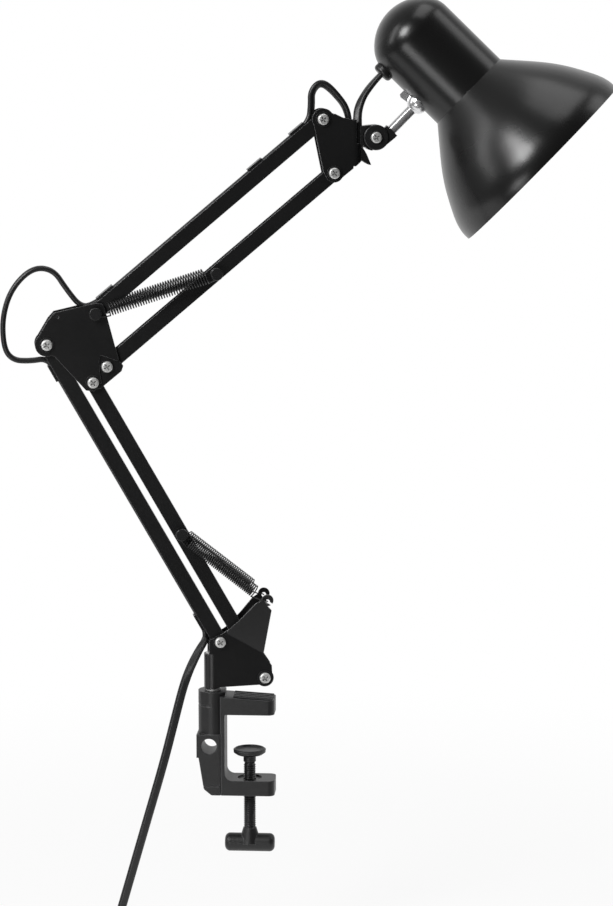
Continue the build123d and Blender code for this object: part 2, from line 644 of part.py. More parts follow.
def make_elbow():
    """Two outer plates and two inner gussets, which the four bars turn on."""
    low = ELBOW_INNER_PIVOT
    round_top = steps_from(ELBOW_TOP_PIVOT, (0.5, 8.2), (5.9, 7.6), (8.6, -0.3))
    right = steps_from(ELBOW_LOW_PIVOT, (6.3, 16.0), (9.8, 3.4), (-5.8, 9.4), (-5.6, -4.0))
    foot = steps_from(low, (6.8, 0), (1.0, -6.8), (-5.4, -6.0))
    left = steps_from(ELBOW_OUTER_PIVOT, (5.6, -8.9), (-4.9, -6.4), (-7.8, 4.0))
    left += steps_from(ELBOW_OUTER_PIVOT, (1.5, 19.5), (5.9, 24.5), (15.6, 26.7))
    outer = outline(round_top + right + foot + left, 1.6)
    outer += Pos(*ELBOW_OUTER_PIVOT) * Circle(9.0)
    plate = on_arm(outer, PLATE_OUTER, ELBOW_OUTER)
    tip = steps_from(ELBOW_LOW_PIVOT, (12.6, 0.6), (11.2, -3.6))
    foot = steps_from(low, (6.0, -4.6), (-1.0, -6.2), (-6.4, -0.6))
    top_edge = steps_from(ELBOW_LOW_PIVOT, (-14.2, 13.0), (3.8, 13.0))
    gusset = on_arm(outline(tip + foot + top_edge, 1.6), PLATE_INNER, PLATE_OUTER)
    dimple_at = steps_from(ELBOW_OUTER_PIVOT, (8.6, 21.1))[0]
    dimple = round_pin(dimple_at, 0.9, PLATE_OUTER + SHEET * 0.5, ELBOW_OUTER + 1)
    for at in (ELBOW_OUTER_PIVOT, low, ELBOW_LOW_PIVOT):
        plate -= round_pin(at, PLATE_HOLE, 0, 20)
        gusset -= round_pin(at, PLATE_HOLE, 0, 20)
    plate -= round_pin(ELBOW_TOP_PIVOT, PIN_RADIUS + SEAT_PLAY, 0, 20)
    plate -= dimple
    keep("elbow_plate_rear", plate)
    keep("elbow_plate_front", mirror(plate, about=Plane.XZ))
    keep("elbow_gussets", together([gusset, mirror(gusset, about=Plane.XZ)]))
    keep("elbow_spring_pin", spring_pin(ELBOW_TOP_PIVOT))

    nut_end = NUT_HEIGHT + SCREW_END
    seat = -ELBOW_OUTER - COLLAR_HEIGHT
    wide = [pan_screw(at, seat, ELBOW_OUTER + nut_end) for at in (ELBOW_OUTER_PIVOT, low)]
    slim = [pan_screw(ELBOW_LOW_PIVOT, -PLATE_OUTER - COLLAR_HEIGHT, PLATE_OUTER + nut_end)]
    keep("elbow_pivot_screws", together(wide + slim))
    nuts = [hex_nut(ELBOW_OUTER_PIVOT, ELBOW_OUTER), hex_nut(low, ELBOW_OUTER)]
    keep("elbow_pivot_nuts", together(nuts + [hex_nut(ELBOW_LOW_PIVOT, PLATE_OUTER)]))
    rings = [
        washers(ELBOW_OUTER_PIVOT, BAR_HALF, PLATE_OUTER, PIVOT_HOLE),
        washers(ELBOW_TOP_PIVOT, BAR_HALF, PLATE_OUTER, PIN_RADIUS + PIVOT_PLAY),
        washers(low, BAR_HALF, PLATE_INNER, PIVOT_HOLE),
        washers(ELBOW_LOW_PIVOT, BAR_HALF, PLATE_INNER, PIVOT_HOLE),
        collar(ELBOW_OUTER_PIVOT, -ELBOW_OUTER),
        collar(low, -ELBOW_OUTER),
        collar(ELBOW_LOW_PIVOT, -PLATE_OUTER, NOTCH_COLLAR_RADIUS),
    ]
    keep("elbow_washers", together(rings))


def make_springs():
    """Two springs on each arm, in front of and behind the bars."""
    lower = balance_spring("lower springs", LOWER_PIN, EAR_CENTRE, EAR_DEPTH, 8.0, 13.0, True)
    keep("lower_spring_front", lower)
    keep("lower_spring_rear", mirror(lower, about=Plane.XZ))
    upper = balance_spring("upper springs", ELBOW_TOP_PIVOT, UPPER_PIN, SPRING_DEPTH, 10.8, 8.0, False)
    keep("upper_spring_front", upper)
    keep("upper_spring_rear", mirror(upper, about=Plane.XZ))


def make_head():
    """Folded head bracket with the nose, and the fixed half of the knuckle."""
    top, low = HEAD_TOP_PIVOT, HEAD_LOW_PIVOT
    left = steps_from(top, (-7.6, -1.9)) + steps_from(low, (-8.3, 0.5), (-4.9, -5.5), (2.7, -6.3))
    right = [(NOSE_X, NOSE_BOTTOM - NOSE_UNDER), (NOSE_X, NOSE_TOP)]
    side = outline(left + right + steps_from(top, (15.2, 1.4), (9.2, 4.3)))
    side += Pos(*top) * Circle(8.4) + Pos(*low) * Circle(7.2)
    bracket = both_sides(on_arm(side, PLATE_INNER, PLATE_OUTER))
    height = NOSE_TOP - NOSE_BOTTOM
    nose = Cylinder(PLATE_OUTER, height) - Cylinder(PLATE_INNER, height)
    nose &= Pos(PLATE_OUTER, 0, 0) * Box(2 * PLATE_OUTER, 4 * PLATE_OUTER, 2 * height)
    nose = Pos(NOSE_X, 0, (NOSE_TOP + NOSE_BOTTOM) / 2) * nose
    foot = (NOSE_FRONT, NOSE_BOTTOM)
    corner = (NOSE_X, NOSE_BOTTOM - NOSE_UNDER)
    below = outline(steps_from(corner, (-10.8, -25.4), (0, 0), (19.2, 15.6), (19.2, -25.4)))
    bracket += nose - on_arm(below, -20, 20)
    lip_front = steps_from(foot, (-1.2, 14.0), (0, 14.6), (3.2, 9.4), (6.8, 0.8))
    lip = outline(lip_front + steps_from(foot, (5.0, 1.2), (1.8, 6.6), (-1.2, 10.4)))
    cheek = outline(lip_front + steps_from(foot, (5.0, 1.0), (2.3, 2.4), (-1.2, 4.8)))
    bracket += on_arm(lip, -LIP_HALF, LIP_HALF)
    bracket += both_sides(on_arm(cheek, LIP_HALF - SHEET, LIP_HALF))
    slot_height = NOSE_SLOT + 3.0
    bracket -= Pos(NOSE_FRONT - 2.2, -5.0, NOSE_TOP + 3.0 - slot_height / 2) * Box(5.6, 7.0, slot_height)
    for at in (top, low):
        bracket -= round_pin(at, PLATE_HOLE, -20, 20)
    bracket -= RIVET_FRAME * Cylinder(RIVET_RADIUS + SEAT_PLAY, 20)
    keep("head_bracket", bracket)

    tip = PLATE_OUTER + NUT_HEIGHT + SCREW_END
    seat = -PLATE_OUTER - COLLAR_HEIGHT
    keep("head_pivot_screws", together([pan_screw(at, seat, tip) for at in (top, low)]))
    nuts = [hex_nut(at, PLATE_OUTER) for at in (top, low)]
    keep("head_nuts", together(nuts + [hex_nut(HINGE, KNUCKLE_HALF)]))
    rings = [washers(at, BAR_HALF, PLATE_INNER, PIVOT_HOLE) for at in (top, low)]
    keep("head_washers", together(rings + [collar(at, -PLATE_OUTER) for at in (top, low)]))


def make_knuckle():
    """Fixed half of the knuckle on the nose, the moving half, and the rod it carries."""
    edge = KNUCKLE_RADIUS - 0.1
    rear = NOSE_FRONT - 2.2
    top = steps_from(HINGE, (-4.5, edge - 0.2), (0, edge))
    under = steps_from(HINGE, (0, -edge), (-3.5, -edge - 0.3), (-5.9, -edge + 0.4), (-10.1, -edge + 3.6))
    block = outline([(rear, HINGE[1] + edge - 1.1), *top, *under, (rear, HINGE[1] - edge + 4.8)])
    block = on_arm(block, -5.0, KNUCKLE_HALF)
    swing = round_pin(HINGE, KNUCKLE_RADIUS + 0.4, -20, KNUCKLE_GAP)
    block -= swing
    block += round_pin(HINGE, KNUCKLE_RADIUS, KNUCKLE_GAP, KNUCKLE_HALF)
    nose = Pos(NOSE_X, 0, NOSE_TOP) * Cylinder(PLATE_OUTER + SEAT_PLAY, 100)
    block -= nose
    block -= round_pin(HINGE, PLATE_HOLE, -20, 20)
    block -= RIVET_FRAME * Pos(0, 0, 0.8) * Cylinder(RIVET_RADIUS + SEAT_PLAY, 10.2)
    block = block.solids().sort_by(SortBy.VOLUME)[-1]
    keep("knuckle_block", block)
    shank = Pos(0, 0, 0.7) * Cylinder(RIVET_RADIUS, 10.2)
    keep("knuckle_rivet", RIVET_FRAME * (shank + Pos(0, 0, -5.0) * Cylinder(2.8, 1.2)))

    disc = round_pin(HINGE, KNUCKLE_RADIUS, -KNUCKLE_HALF, -KNUCKLE_GAP)
    disc = fillet(disc.faces().sort_by(Axis.Y)[0].edges(), 1.2)
    seat = steps_from(HINGE, BOSS_STEP)[0]
    around = steps_from(seat, (-4.1, 3.9), (-2.3, 5.7), (5.6, -2.1), (3.8, -3.9))
    arm = outline([*steps_from(HINGE, (1.0, 9.5)), *around, *steps_from(HINGE, (6.0, -7.4), (0, 0))])
    arm = on_arm(arm, -ROD_BOSS_RADIUS, -KNUCKLE_GAP)
    rod_plane = Plane(origin=(ROD_ON_AXIS[0], 0, ROD_ON_AXIS[1]), z_dir=ROD_OUT)
    boss = rod_plane * Pos(0, 0, ROD_TO_BOSS - 1.3) * Cylinder(ROD_BOSS_RADIUS, 2.6)
    lobe = disc + arm + boss
    lobe -= rod_plane * Pos(0, 0, ROD_TO_BOSS - 10.1) * Cylinder(ROD_RADIUS + SEAT_PLAY, 20)
    lobe -= round_pin(HINGE, PIVOT_HOLE, -20, 20)
    keep("knuckle_lobe", lobe)
    keep("knuckle_screw", pan_screw(HINGE, -KNUCKLE_HALF, KNUCKLE_HALF + NUT_HEIGHT + SCREW_END))

    rod_from = 27.0
    rod_to = ROD_TO_BOSS - 0.2
    rod = rod_plane * Pos(0, 0, (rod_from + rod_to) / 2) * Cylinder(ROD_RADIUS, rod_to - rod_from)
    keep("chrome_rod", chamfer(rod.edges(), 0.5))
    nut = extrude(RegularPolygon(6.4, 6) - Circle(ROD_RADIUS + SEAT_PLAY), amount=3.6)
    keep("rod_nut", rod_plane * Pos(0, 0, 28.6) * nut)


def shade_solid(wall, past):
    """Solid of revolution of the shade's outside, set in by a wall, up to an end past the rim."""
    bell = [(RIM_RADIUS - wall, ROD_FROM_RIM)]
    inside = [Vector(RIM_RADIUS, 0)] + [Vector(r, back) for back, r in BELL_PROFILE]
    for before, point, after in zip(inside, inside[1:], inside[2:] + [inside[-1]]):
        run = after - before
        slant = hypot(run.X, run.Y) / abs(run.Y)
        bell.append((point.X - wall * slant, ROD_FROM_RIM - point.Y))
    crease_r, crease_z = bell[-1]
    neck = NECK_RADIUS - wall
    dome_z = ROD_FROM_RIM - DOME_START
    apex_z = ROD_FROM_RIM - SHADE_LENGTH + wall
    curve = Spline(*bell)
    shoulder = Polyline((crease_r, crease_z), (neck, crease_z - 2.4), (neck, dome_z))
    small = DOME_SHOULDER - wall
    height = dome_z - apex_z
    crown = (neck**2 + height**2 - 2 * neck * small) / (2 * (height - small))
    lean = degrees(atan2(crown - height, neck - small))
    lean_x, lean_z = unit(-lean)
    meet = (lean_x * crown, apex_z + crown + lean_z * crown)
    shoulder_arc = TangentArc((neck, dome_z), meet, tangent=(0, -1))
    dome = [shoulder_arc, TangentArc(meet, (0, apex_z), tangent=shoulder_arc % 1)]
    ends = [(0, apex_z), (0, ROD_FROM_RIM + past), bell[0]]
    if past:
        ends.insert(2, (RIM_RADIUS - wall, ROD_FROM_RIM + past))
    closing = Polyline(*ends)
    face = make_face([curve, *shoulder.edges(), *dome, *closing.edges()])
    return revolve(Plane.XZ * face, Axis.Z)


def make_shade():
    """Spun shade, its rod cup and cord gland, and the lampholder inside the neck."""
    outside = shade_solid(0.0, 0.0)
    inside = shade_solid(SHADE_WALL, 5.0)
    shell = outside - inside
    rod_side = Plane(origin=(0, 0, 0), z_dir=(1, 0, 0))
    gland_side = Plane(origin=(0, 0, GLAND_Z), z_dir=(1, 0, 0))
    shell -= rod_side * Pos(0, 0, NECK_RADIUS) * Cylinder(ROD_RADIUS + SWIVEL_PLAY, 12)
    shell -= gland_side * Pos(0, 0, NECK_RADIUS) * Cylinder(GLAND_STEM + SEAT_PLAY, 30)
    keep("lamp_shade", SHADE_FRAME * shell)

    cup = rod_side * Pos(0, 0, NECK_RADIUS - 0.8) * Sphere(8.6)
    fin = make_face(Polyline((33, -14.5), (38.8, -14.5), (40.0, -12.4), (38.6, -4.0), (33, -4.0), close=True))
    cup += extrude(Plane.XZ * fin, amount=0.8, both=True)
    cup -= outside
    cup -= Pos(-20, 0, 0) * Box(60, 60, 60)
    cup -= rod_side * Pos(0, 0, NECK_RADIUS) * Cylinder(ROD_RADIUS + SWIVEL_PLAY, 40)
    keep("rod_cup", SHADE_FRAME * cup.solids().sort_by(SortBy.VOLUME)[-1])

    cap = Pos(0, 0, (GLAND_OUT + 28) / 2) * Cylinder(GLAND_RADIUS, GLAND_OUT - 28)
    cap = fillet(cap.faces().sort_by(Axis.Z)[-1].edges(), 2.6)
    gland = gland_side * cap - outside
    gland += gland_side * Pos(0, 0, 31.0) * Cylinder(GLAND_STEM, 8.0)
    keep("cord_gland", SHADE_FRAME * gland)

    depth = HOLDER_MOUTH - HOLDER_BACK
    floor = HOLDER_BACK + 10.0
    holder = Pos(0, 0, (HOLDER_BACK + HOLDER_MOUTH) / 2) * Cylinder(HOLDER_RADIUS, depth)
    holder = fillet(holder.edges(), 1.5)
    bore = SOCKET_RADIUS + SOCKET_SHELL + SEAT_PLAY
    holder -= Pos(0, 0, (floor + HOLDER_MOUTH) / 2 + 1) * Cylinder(bore, HOLDER_MOUTH - floor + 2)
    keep("lampholder_body", SHADE_FRAME * holder)
    shell_start = floor + SHELL_OVER_FLOOR
    length = HOLDER_MOUTH - 0.5 - shell_start
    sleeve = Cylinder(SOCKET_RADIUS + SOCKET_SHELL, length) - Cylinder(SOCKET_RADIUS, length)
    keep("lampholder_shell", SHADE_FRAME * Pos(0, 0, shell_start + length / 2) * sleeve)
    tongue = Pos(0, 0, floor + 0.6) * Cylinder(5.0, 1.2) + Pos(0, 0, floor + 1.8) * Cylinder(3.0, 2.0)
    keep("lampholder_contact", SHADE_FRAME * tongue)
    stem_end = ROD_FROM_RIM - SHADE_LENGTH
    stem = Pos(0, 0, (stem_end + HOLDER_BACK) / 2) * Cylinder(5.0, HOLDER_BACK - stem_end) & inside
    keep("lampholder_stem", SHADE_FRAME * stem)


def make_cord():
    """The flat cord from the shade along the arm to where it hangs past the clamp."""
    gland = SHADE_FRAME.from_local_coords(Vector(GLAND_OUT + 0.05, 0, GLAND_Z))
    gland_exit = SHADE_FRAME.from_local_coords(Vector(GLAND_OUT + 13.0, 0, GLAND_Z))
    (bend_x, bend_z), (top_x, top_z), (in_x, in_z) = steps_from(
        (NOSE_X, NOSE_TOP), (5.0, 10.5), (2.7, -2.5), (2.5, -12.5)
    )
    bend = Vector(bend_x, 2.6, bend_z)
    nose_top = Vector(top_x, 0.3, top_z)
    joint = (bend + nose_top) * 0.5
    step = (nose_top - bend).normalized() * CORD_JOINT
    keep("cord_shade_lead", flat_cord("shade lead", [gland, gland_exit, bend, joint]))
    keep("cord_nose_lead", flat_cord("nose lead", [joint + step, nose_top, (in_x, 0.3, in_z)]))

    bar_end = ((UPPER_LENGTH - 21.0, 4.6), (UPPER_LENGTH - 8.5, 4.7))
    head = [along(ELBOW_TOP_PIVOT, UPPER_ANGLE, run, side) for run, side in bar_end]
    head += steps_from(HEAD_TOP_PIVOT, (-8.0, 10.6), (-8.3, 21.1), (-1.2, 28.6), (8.3, 22.1))
    head += steps_from((NOSE_X, NOSE_TOP), (-1.9, 5.5), (-2.4, -10.0))
    keep("cord_head_loop", flat_cord("head loop", [(x, 0, z) for x, z in head]))

    run = [along(ELBOW_TOP_PIVOT, UPPER_ANGLE, r, CORD_OFFSET) for r in (16.2, UPPER_LENGTH - 21.2)]
    keep("cord_upper_run", flat_tube("upper run", [Line(*[(x, 0, z) for x, z in run])], (0, 1, 0)))

    over = [along(ELBOW_TOP_PIVOT, UPPER_ANGLE, r, side) for r, side in ((16, 4.6), (6, 4.8))]
    over += steps_from(ELBOW_TOP_PIVOT, (-10.0, 3.8), (-21.5, 18.5), (-31.0, 33.5), (-47.0, 35.2))
    over += steps_from(ELBOW_OUTER_PIVOT, (-25.9, 43.0), (-33.2, 21.5), (-33.0, 10.5))
    keep("cord_elbow_over", flat_cord("elbow loop, upper half", [(x, 0, z) for x, z in over]))

    under = steps_from(ELBOW_OUTER_PIVOT, (-33.0, 10.5 - CORD_JOINT), (-32.8, -2.5))
    under += steps_from(ELBOW_OUTER_PIVOT, (-25.9, -12.3), (-12.4, -13.1))
    bar_end = ((LOWER_LENGTH - 10.0, 4.8), (LOWER_LENGTH - 18.0, 4.6))
    under += [along(BASE_OUTER_PIVOT, LOWER_ANGLE, r, side) for r, side in bar_end]
    keep("cord_elbow_under", flat_cord("elbow loop, lower half", [(x, 0, z) for x, z in under]))

    run = [along(BASE_OUTER_PIVOT, LOWER_ANGLE, r, CORD_OFFSET) for r in (LOWER_LENGTH - 18.2, 24.2)]
    keep("cord_lower_run", flat_tube("lower run", [Line(*[(x, 0, z) for x, z in run])], (0, 1, 0)))

    tail = [along(BASE_OUTER_PIVOT, LOWER_ANGLE, r, side) for r, side in ((24, 4.6), (8, 4.9))]
    tail += [(-40.8, 48.0), (-50.8, 26.0), (-58.6, -4.0), (-67.8, -40.0), (-82.4, -89.5)]
    tail += [(-99.2, -147.0), (-112.0, LEAD_Z), (SWITCH_FROM - 0.2, LEAD_Z)]
    keep("cord_tail", flat_cord("tail", [(x, 0, z) for x, z in tail]))


def make_lead_end():
    """In-line switch, the tied coil of the put-away length, and the plug."""
    mid = SWITCH_FROM - SWITCH_LENGTH / 2
    body = Box(SWITCH_LENGTH - 0.8, SWITCH_WIDTH, SWITCH_HEIGHT)
    body = fillet(body.edges().filter_by(Axis.Z), 9.0)
    body = fillet(body.faces().sort_by(Axis.Z)[-1].edges() + body.faces().sort_by(Axis.Z)[0].edges(), 3.0)
    top = SWITCH_HEIGHT / 2
    pivot_z = top - 2.6
    body -= Pos(0, 0, top - 3.8) * Box(20.8, 11.6, 7.6)
    body -= Pos(0, 0, pivot_z) * Rot(90, 0, 0) * Cylinder(1.3 + PIVOT_PLAY, 14.2)
    keep("switch_body", Pos(mid, 0, LEAD_Z) * body)
    rocker = Rot(90, 0, 0) * Cylinder(9.6, 11.0) & Pos(0, 0, 0.8) * Box(19, 12, 6.2)
    rocker -= Pos(0, 0, 26.6) * Rot(90, 0, 0) * Cylinder(23.6, 20)
    rocker += Rot(90, 0, 0) * Cylinder(1.3, 13.8)
    keep("switch_rocker", Pos(mid, 0, LEAD_Z + pivot_z) * rocker)

    edges = []
    at = Vector(SWITCH_FROM - SWITCH_LENGTH + 0.2, 0, LEAD_Z)
    spiral = Vector(COIL_X, 0, LEAD_Z)
    edges.append(Line(at, spiral))
    at = spiral
    side = -1
    radii = [COIL_OUTER - COIL_STEP * k for k in range(COIL_HALF_TURNS)]
    points = []

    def half_turn(at, radius, side):
        centre = at + Vector(0, side * radius, 0)
        sweep_points = []
        for k in range(24):
            a = radians(90 * -side + 180 * k / 24)
            sweep_points.append(centre + Vector(cos(a), sin(a), 0) * radius)
        far = centre + Vector(0, side * radius, 0)
        middle = centre + Vector(side * radius, 0, 0)
        return ThreePointArc(at, middle, far), far, sweep_points

    for radius in radii:
        edge, at, found = half_turn(at, radius, side)
        edges.append(edge)
        points += found
        side = -side
    radius = COIL_OUTER - COIL_STEP * COIL_HALF_TURNS
    centre = at + Vector(0, side * radius, 0)
    quarter = centre + Vector(side * radius, 0, -LAYER_DROP / 2)
    low = centre + Vector(0, side * radius, -LAYER_DROP)
    fall = Vector(0, side, -LAYER_DROP / (2 * radius))
    forward = Vector(side, 0, 0)
    edges += biarc(at, forward, quarter, fall)
    edges += biarc(quarter, fall, low, forward * -1)
    at = low
    side = -side
    for radius in reversed(radii):
        edge, at, found = half_turn(at, radius, side)
        edges.append(edge)
        points += found
        side = -side
    plug_from = at.X + 48.0
    edges += biarc(at, Vector(1, 0, 0), Vector(plug_from, at.Y, PLUG_Z), Vector(1, 0, 0))
    gap = least_gap(points, 40)
    print(f"coil: {2 * COIL_HALF_TURNS + 1} half turns, least centre distance {gap:.2f} mm")
    assert gap - CORD_THICK > WIRE_GAP_LEAST and LAYER_DROP - CORD_WIDTH > WIRE_GAP_LEAST
    keep("cord_coil", flat_tube("coil", edges, (0, 0, 1), guided=True))

    bundle = (COIL_X + 37.35, -COIL_OUTER - COIL_STEP, LEAD_Z - LAYER_DROP / 2)
    tie = Box(16.5, 8.0, 17.0) - Box(14.9, 9.0, 15.4)
    keep("coil_tie", Pos(*bundle) * fillet(tie.edges().filter_by(Axis.Y), 0.3))

    plug_at = plug_from + 0.2
    shape = outline(
        [(0, -6), (8, -9), (20, -17.6), (36, -17.6), (36, 17.6), (20, 17.6), (8, 9), (0, 6)], 2.0
    )
    plug = extrude(shape, amount=6.8, both=True)
    plug = fillet(plug.faces().sort_by(Axis.Z)[-1].edges() + plug.faces().sort_by(Axis.Z)[0].edges(), 1.8)
    pins = []
    for y in (-9.3, 9.3):
        hole = Pos(36, y, 0) * Rot(0, 90, 0) * Cylinder(2.0 + SEAT_PLAY, 16)
        plug -= hole
        pin = Pos(41.2, y, 0) * Rot(0, 90, 0) * Cylinder(2.0, 26)
        pins.append(fillet(pin.faces().sort_by(Axis.X)[-1].edges(), 1.6))
    put = Pos(plug_at, at.Y, PLUG_Z)
    keep("plug_body", put * plug)
    keep("plug_pins", together([put * pin for pin in pins]))


if __name__ == "__main__":
    make_clamp()
    make_base()
    make_bars()
    make_elbow()
    make_springs()
    make_head()
    make_knuckle()
    make_shade()
    make_cord()
    make_lead_end()
    for name, shape in PIECES.items():
        export_step(shape, f"parts/{name}.step")
    print(len(PIECES), "nodes written")
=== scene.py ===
# %% [markdown]
# A clip-on desk lamp: four channel bars on a screw clamp, balanced by springs, with a bell shade.
# The solids come in as a fixed frame in metres, and this lesson gives them their finishes.
# The flat cord and the wound springs are modelled here, because they bend when the arm moves.

import json
from math import cos, pi, radians, sin

import bpy
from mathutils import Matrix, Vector


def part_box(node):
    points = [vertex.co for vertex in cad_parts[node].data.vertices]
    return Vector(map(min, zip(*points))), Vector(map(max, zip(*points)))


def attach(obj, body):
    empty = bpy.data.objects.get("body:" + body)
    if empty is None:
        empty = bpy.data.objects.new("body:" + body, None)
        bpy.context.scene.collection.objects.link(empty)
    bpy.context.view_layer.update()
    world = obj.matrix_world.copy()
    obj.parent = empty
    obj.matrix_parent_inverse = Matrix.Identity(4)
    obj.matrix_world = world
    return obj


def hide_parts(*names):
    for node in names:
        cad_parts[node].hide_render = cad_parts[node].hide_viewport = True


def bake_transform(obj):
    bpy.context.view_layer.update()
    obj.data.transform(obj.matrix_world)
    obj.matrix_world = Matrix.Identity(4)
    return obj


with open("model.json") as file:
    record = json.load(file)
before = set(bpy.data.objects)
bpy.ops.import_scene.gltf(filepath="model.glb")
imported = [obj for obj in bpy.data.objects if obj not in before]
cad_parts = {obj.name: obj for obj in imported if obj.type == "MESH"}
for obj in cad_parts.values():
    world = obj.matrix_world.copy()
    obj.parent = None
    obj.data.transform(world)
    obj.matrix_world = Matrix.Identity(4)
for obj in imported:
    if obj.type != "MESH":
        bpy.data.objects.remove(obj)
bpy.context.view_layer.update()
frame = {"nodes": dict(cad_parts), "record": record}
scene = bpy.context.scene
scene.view_settings.view_transform = "Standard"

# %% [markdown]
# The photograph is taken with a long lens, a little from the left and from above, so the arm's plane
# is almost square to the view. The lens is given for the long side of the picture.

# %% Camera
CAMERA_AT = Vector((-0.2142, -2.1444, 0.527))
CAMERA_AIM = Vector((0.0453, 0.0, 0.2042))
LENS_MM = 111.26
SENSOR_MM = 36.0
CLIP_END = 50.0
lens = bpy.data.cameras.new("camera")
lens.lens = LENS_MM
lens.sensor_width = SENSOR_MM
lens.clip_end = CLIP_END
camera = bpy.data.objects.new("camera", lens)
camera.location = CAMERA_AT
camera.rotation_euler = (CAMERA_AIM - CAMERA_AT).to_track_quat("-Z", "Y").to_euler()
scene.collection.objects.link(camera)
scene.camera = camera
print("camera looks along", [round(x, 3) for x in (CAMERA_AIM - CAMERA_AT).normalized()])

# %% [markdown]
# The cord is flat, seven millimetres by a little over four, and lies flat-side down in the bars. Its
# route is a list of given points. A smooth spline through them gives the centre line, and the
# mesh is a rounded flat section carried along that line, which a round bevel could not give.

# %% Flat cord: a smooth line and a section carried along it
CORD_WIDTH = 0.007
CORD_THICK = 0.0042
UPPER_ANGLE = 39.9
LOWER_ANGLE = 119.3
ELBOW_TOP = (-0.1185, 0.316)
BASE_OUTER = (-0.0235, 0.057)
ACROSS_ARM = Vector((0, 1, 0))
IN_BAR_SIDE = 0.0046
FIRST_WIDTH = Vector((0.21, 0.93, 0.3))
SHARP_ANGLE = radians(60)
cords = []


def in_bar(start, angle, run, side):
    """Point in a bar, from the run along it and the offset to its open side."""
    c, s = cos(radians(angle)), sin(radians(angle))
    return start[0] + run * c - side * s, 0.0, start[1] + run * s + side * c


def smooth_line(points, fineness=8):
    """Points along the smooth spline that has the route's points as its controls."""
    curve = bpy.data.curves.new("route", "CURVE")
    curve.dimensions = "3D"
    spline = curve.splines.new("NURBS")
    spline.points.add(len(points) - 1)
    for control, point in zip(spline.points, points):
        control.co = (*point, 1.0)
    spline.order_u = 3
    spline.use_endpoint_u = True
    spline.resolution_u = fineness
    route = bpy.data.objects.new("route", curve)
    line = bpy.data.meshes.new_from_object(route)
    found = [v.co.copy() for v in line.vertices]
    bpy.data.objects.remove(route)
    bpy.data.meshes.remove(line)
    bpy.data.curves.remove(curve)
    return found


def flat_section(count=9):
    """Corners of the cord's section: two half rounds joined by flats."""
    reach = (CORD_WIDTH - CORD_THICK) / 2
    corners = []
    for end in (1, -1):
        for k in range(count):
            turn = pi * k / (count - 1) - pi / 2 + (0 if end > 0 else pi)
            corners.append((end * reach + CORD_THICK / 2 * cos(turn), CORD_THICK / 2 * sin(turn)))
    return corners


def carry(name, line, section, across=None):
    """Mesh of a section carried along a line, with its width turned to a direction if one is given."""
    verts, faces = [], []
    count = len(section)
    total = line_length(line)
    run = 0.0
    wide = FIRST_WIDTH
    for k, at in enumerate(line):
        ahead = (line[min(k + 1, len(line) - 1)] - line[max(k - 1, 0)]).normalized()
        if k:
            run += (at - line[k - 1]).length
        if across:
            wide = across(run / total, ahead)
        wide = (wide - ahead * wide.dot(ahead)).normalized()
        thick = ahead.cross(wide)
        verts += [at + wide * u + thick * v for u, v in section]
    for k in range(len(line) - 1):
        for j in range(count):
            i = (j + 1) % count
            faces.append((k * count + j, k * count + i, (k + 1) * count + i, (k + 1) * count + j))
    faces.append(tuple(reversed(range(count))))
    faces.append(tuple((len(line) - 1) * count + j for j in range(count)))
    mesh = bpy.data.meshes.new(name)
    mesh.from_pydata([tuple(v) for v in verts], [], faces)
    mesh.shade_smooth()
    mesh.set_sharp_from_angle(angle=SHARP_ANGLE)
    piece = bpy.data.objects.new(name, mesh)
    scene.collection.objects.link(piece)
    return piece


def line_length(line):
    """Length of a line of points."""
    return sum((b - a).length for a, b in zip(line, line[1:]))


def twisted(angles, upright=None):
    """Direction of a cord's width, turned from across the arm by angles that are spaced along it."""

    def across(share, ahead):
        place = share * (len(angles) - 1)
        k = min(int(place), len(angles) - 2)
        ease = place - k
        turn = radians(angles[k] + (angles[k + 1] - angles[k]) * ease * ease * (3 - 2 * ease))
        normal = upright - ahead * upright.dot(ahead) if upright else ACROSS_ARM.cross(ahead)
        return ACROSS_ARM * cos(turn) + normal.normalized() * sin(turn)

    return across


def cord_piece(name, points, *nodes, twist=(0, 0), upright=None):
    """A stretch of the flat cord in place of its plain solids."""
    line = smooth_line(points)
    piece = carry(name, line, flat_section(), twisted(twist, upright))
    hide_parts(*nodes)
    cords.append(piece)
    print(name, "length", round(line_length(line), 4), "m")
    return piece, line


# %% [markdown]
# The cord runs in the bars, held by clips, and crosses each joint in a free loop that has enough slack
# for the arm's travel. Each loop is a piece of its own.

# %% Cord in the bars
for name, start, angle, ends, body in (
    ("cord_in_upper_bar", ELBOW_TOP, UPPER_ANGLE, (0.0162, 0.112, 0.2078), "upper_top"),
    ("cord_in_lower_bar", BASE_OUTER, LOWER_ANGLE, (0.2518, 0.138, 0.0242), "lower_outer"),
):
    node = "cord_upper_run" if body == "upper_top" else "cord_lower_run"
    stretch, _ = cord_piece(name, [in_bar(start, angle, run, IN_BAR_SIDE) for run in ends], node)
    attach(stretch, body)

# %% Loops over the head and the elbow
SHADE_AT = Vector((0.1553, 0.0, 0.4989))
SHADE_TILT = 44.7
SHADE_TURN = -8.5
tilt_cos, tilt_sin = cos(radians(SHADE_TILT)), sin(radians(SHADE_TILT))
turn_cos, turn_sin = cos(radians(SHADE_TURN)), sin(radians(SHADE_TURN))
SHADE_AXIS = Vector((tilt_cos * turn_cos, turn_sin, -tilt_sin * turn_cos))
ROD_OUT = Vector((-tilt_sin, 0.0, -tilt_cos))
GLAND_FROM_AXIS = 0.03845
GLAND_BEHIND = 0.0355
GLAND_LENGTH = 0.01295
GLAND = SHADE_AT + ROD_OUT * GLAND_FROM_AXIS - SHADE_AXIS * GLAND_BEHIND
GLAND_EXIT = GLAND + ROD_OUT * GLAND_LENGTH
LEAD_BEND = Vector((0.0858, 0.0026, 0.473))
NOSE_TOP = Vector((0.0842, -0.0016, 0.4605))
